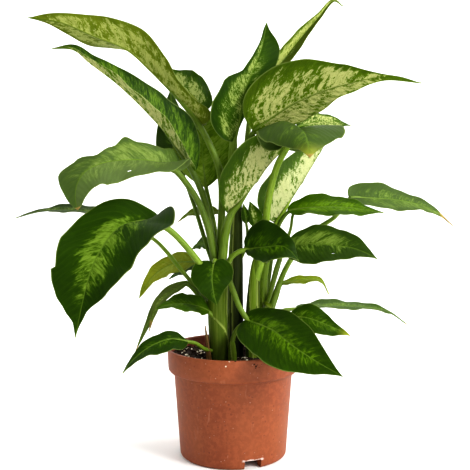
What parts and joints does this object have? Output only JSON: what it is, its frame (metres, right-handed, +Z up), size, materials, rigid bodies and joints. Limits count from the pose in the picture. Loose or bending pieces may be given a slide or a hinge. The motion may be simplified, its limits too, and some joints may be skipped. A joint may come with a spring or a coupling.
{
  "type": "potted dieffenbachia",
  "caption": "Leafy dieffenbachia with variegated, arching leaves on several canes, standing in a plain round nursery pot of soil.",
  "frame": {"origin": "centre of the pot's underside, on the surface that the pot stands on", "axes": "+Z up, +X to the right of the pictured front, +Y away from that front"},
  "size_m": [0.4528, 0.2149, 0.4265],
  "materials": {
    "pot": "satin",
    "soil": "matte",
    "cane": "satin",
    "leaf": "satin",
    "pale_leaf": "satin"
  },
  "bodies": {
    "root": {"pot": "pot", "soil": "soil", "cane_main": "cane", "cane_tall": "cane", "cane_right": "cane", "cane_outer": "cane", "cane_low": "cane", "leaf_top_left_arching": "pale_leaf", "leaf_left_folded": "leaf", "leaf_left_broad": "leaf", "leaf_top_left_behind": "leaf", "leaf_left_behind": "leaf", "leaf_centre_behind": "leaf", "leaf_top_upright": "leaf", "leaf_top_right_large": "pale_leaf", "leaf_top_narrow": "leaf", "leaf_centre_pale": "pale_leaf", "leaf_facing_front": "leaf", "leaf_right_behind": "pale_leaf", "leaf_right_pale": "pale_leaf", "leaf_right_middle": "leaf", "leaf_right_middle_behind": "leaf", "leaf_far_right": "leaf", "leaf_centre_right_dark": "leaf", "leaf_right_dark": "leaf", "leaf_front_left_large": "leaf", "leaf_left_yellow": "pale_leaf", "leaf_left_small_dark": "leaf", "leaf_left_small_round": "leaf", "leaf_left_small_thin": "leaf", "leaf_far_left": "leaf", "leaf_front_heart": "leaf", "leaf_front_right_large": "leaf", "leaf_low_right": "leaf", "leaf_low_right_thin": "leaf", "leaf_right_small_thin": "pale_leaf", "leaf_low_left": "leaf", "leaf_left_drooping": "pale_leaf", "leaf_left_drooping_short": "pale_leaf", "leaf_left_low_dark": "leaf", "leaf_young_narrow": "leaf", "leaf_young_folded": "pale_leaf", "leaf_young_curled": "pale_leaf"}
  },
  "joints": []
}
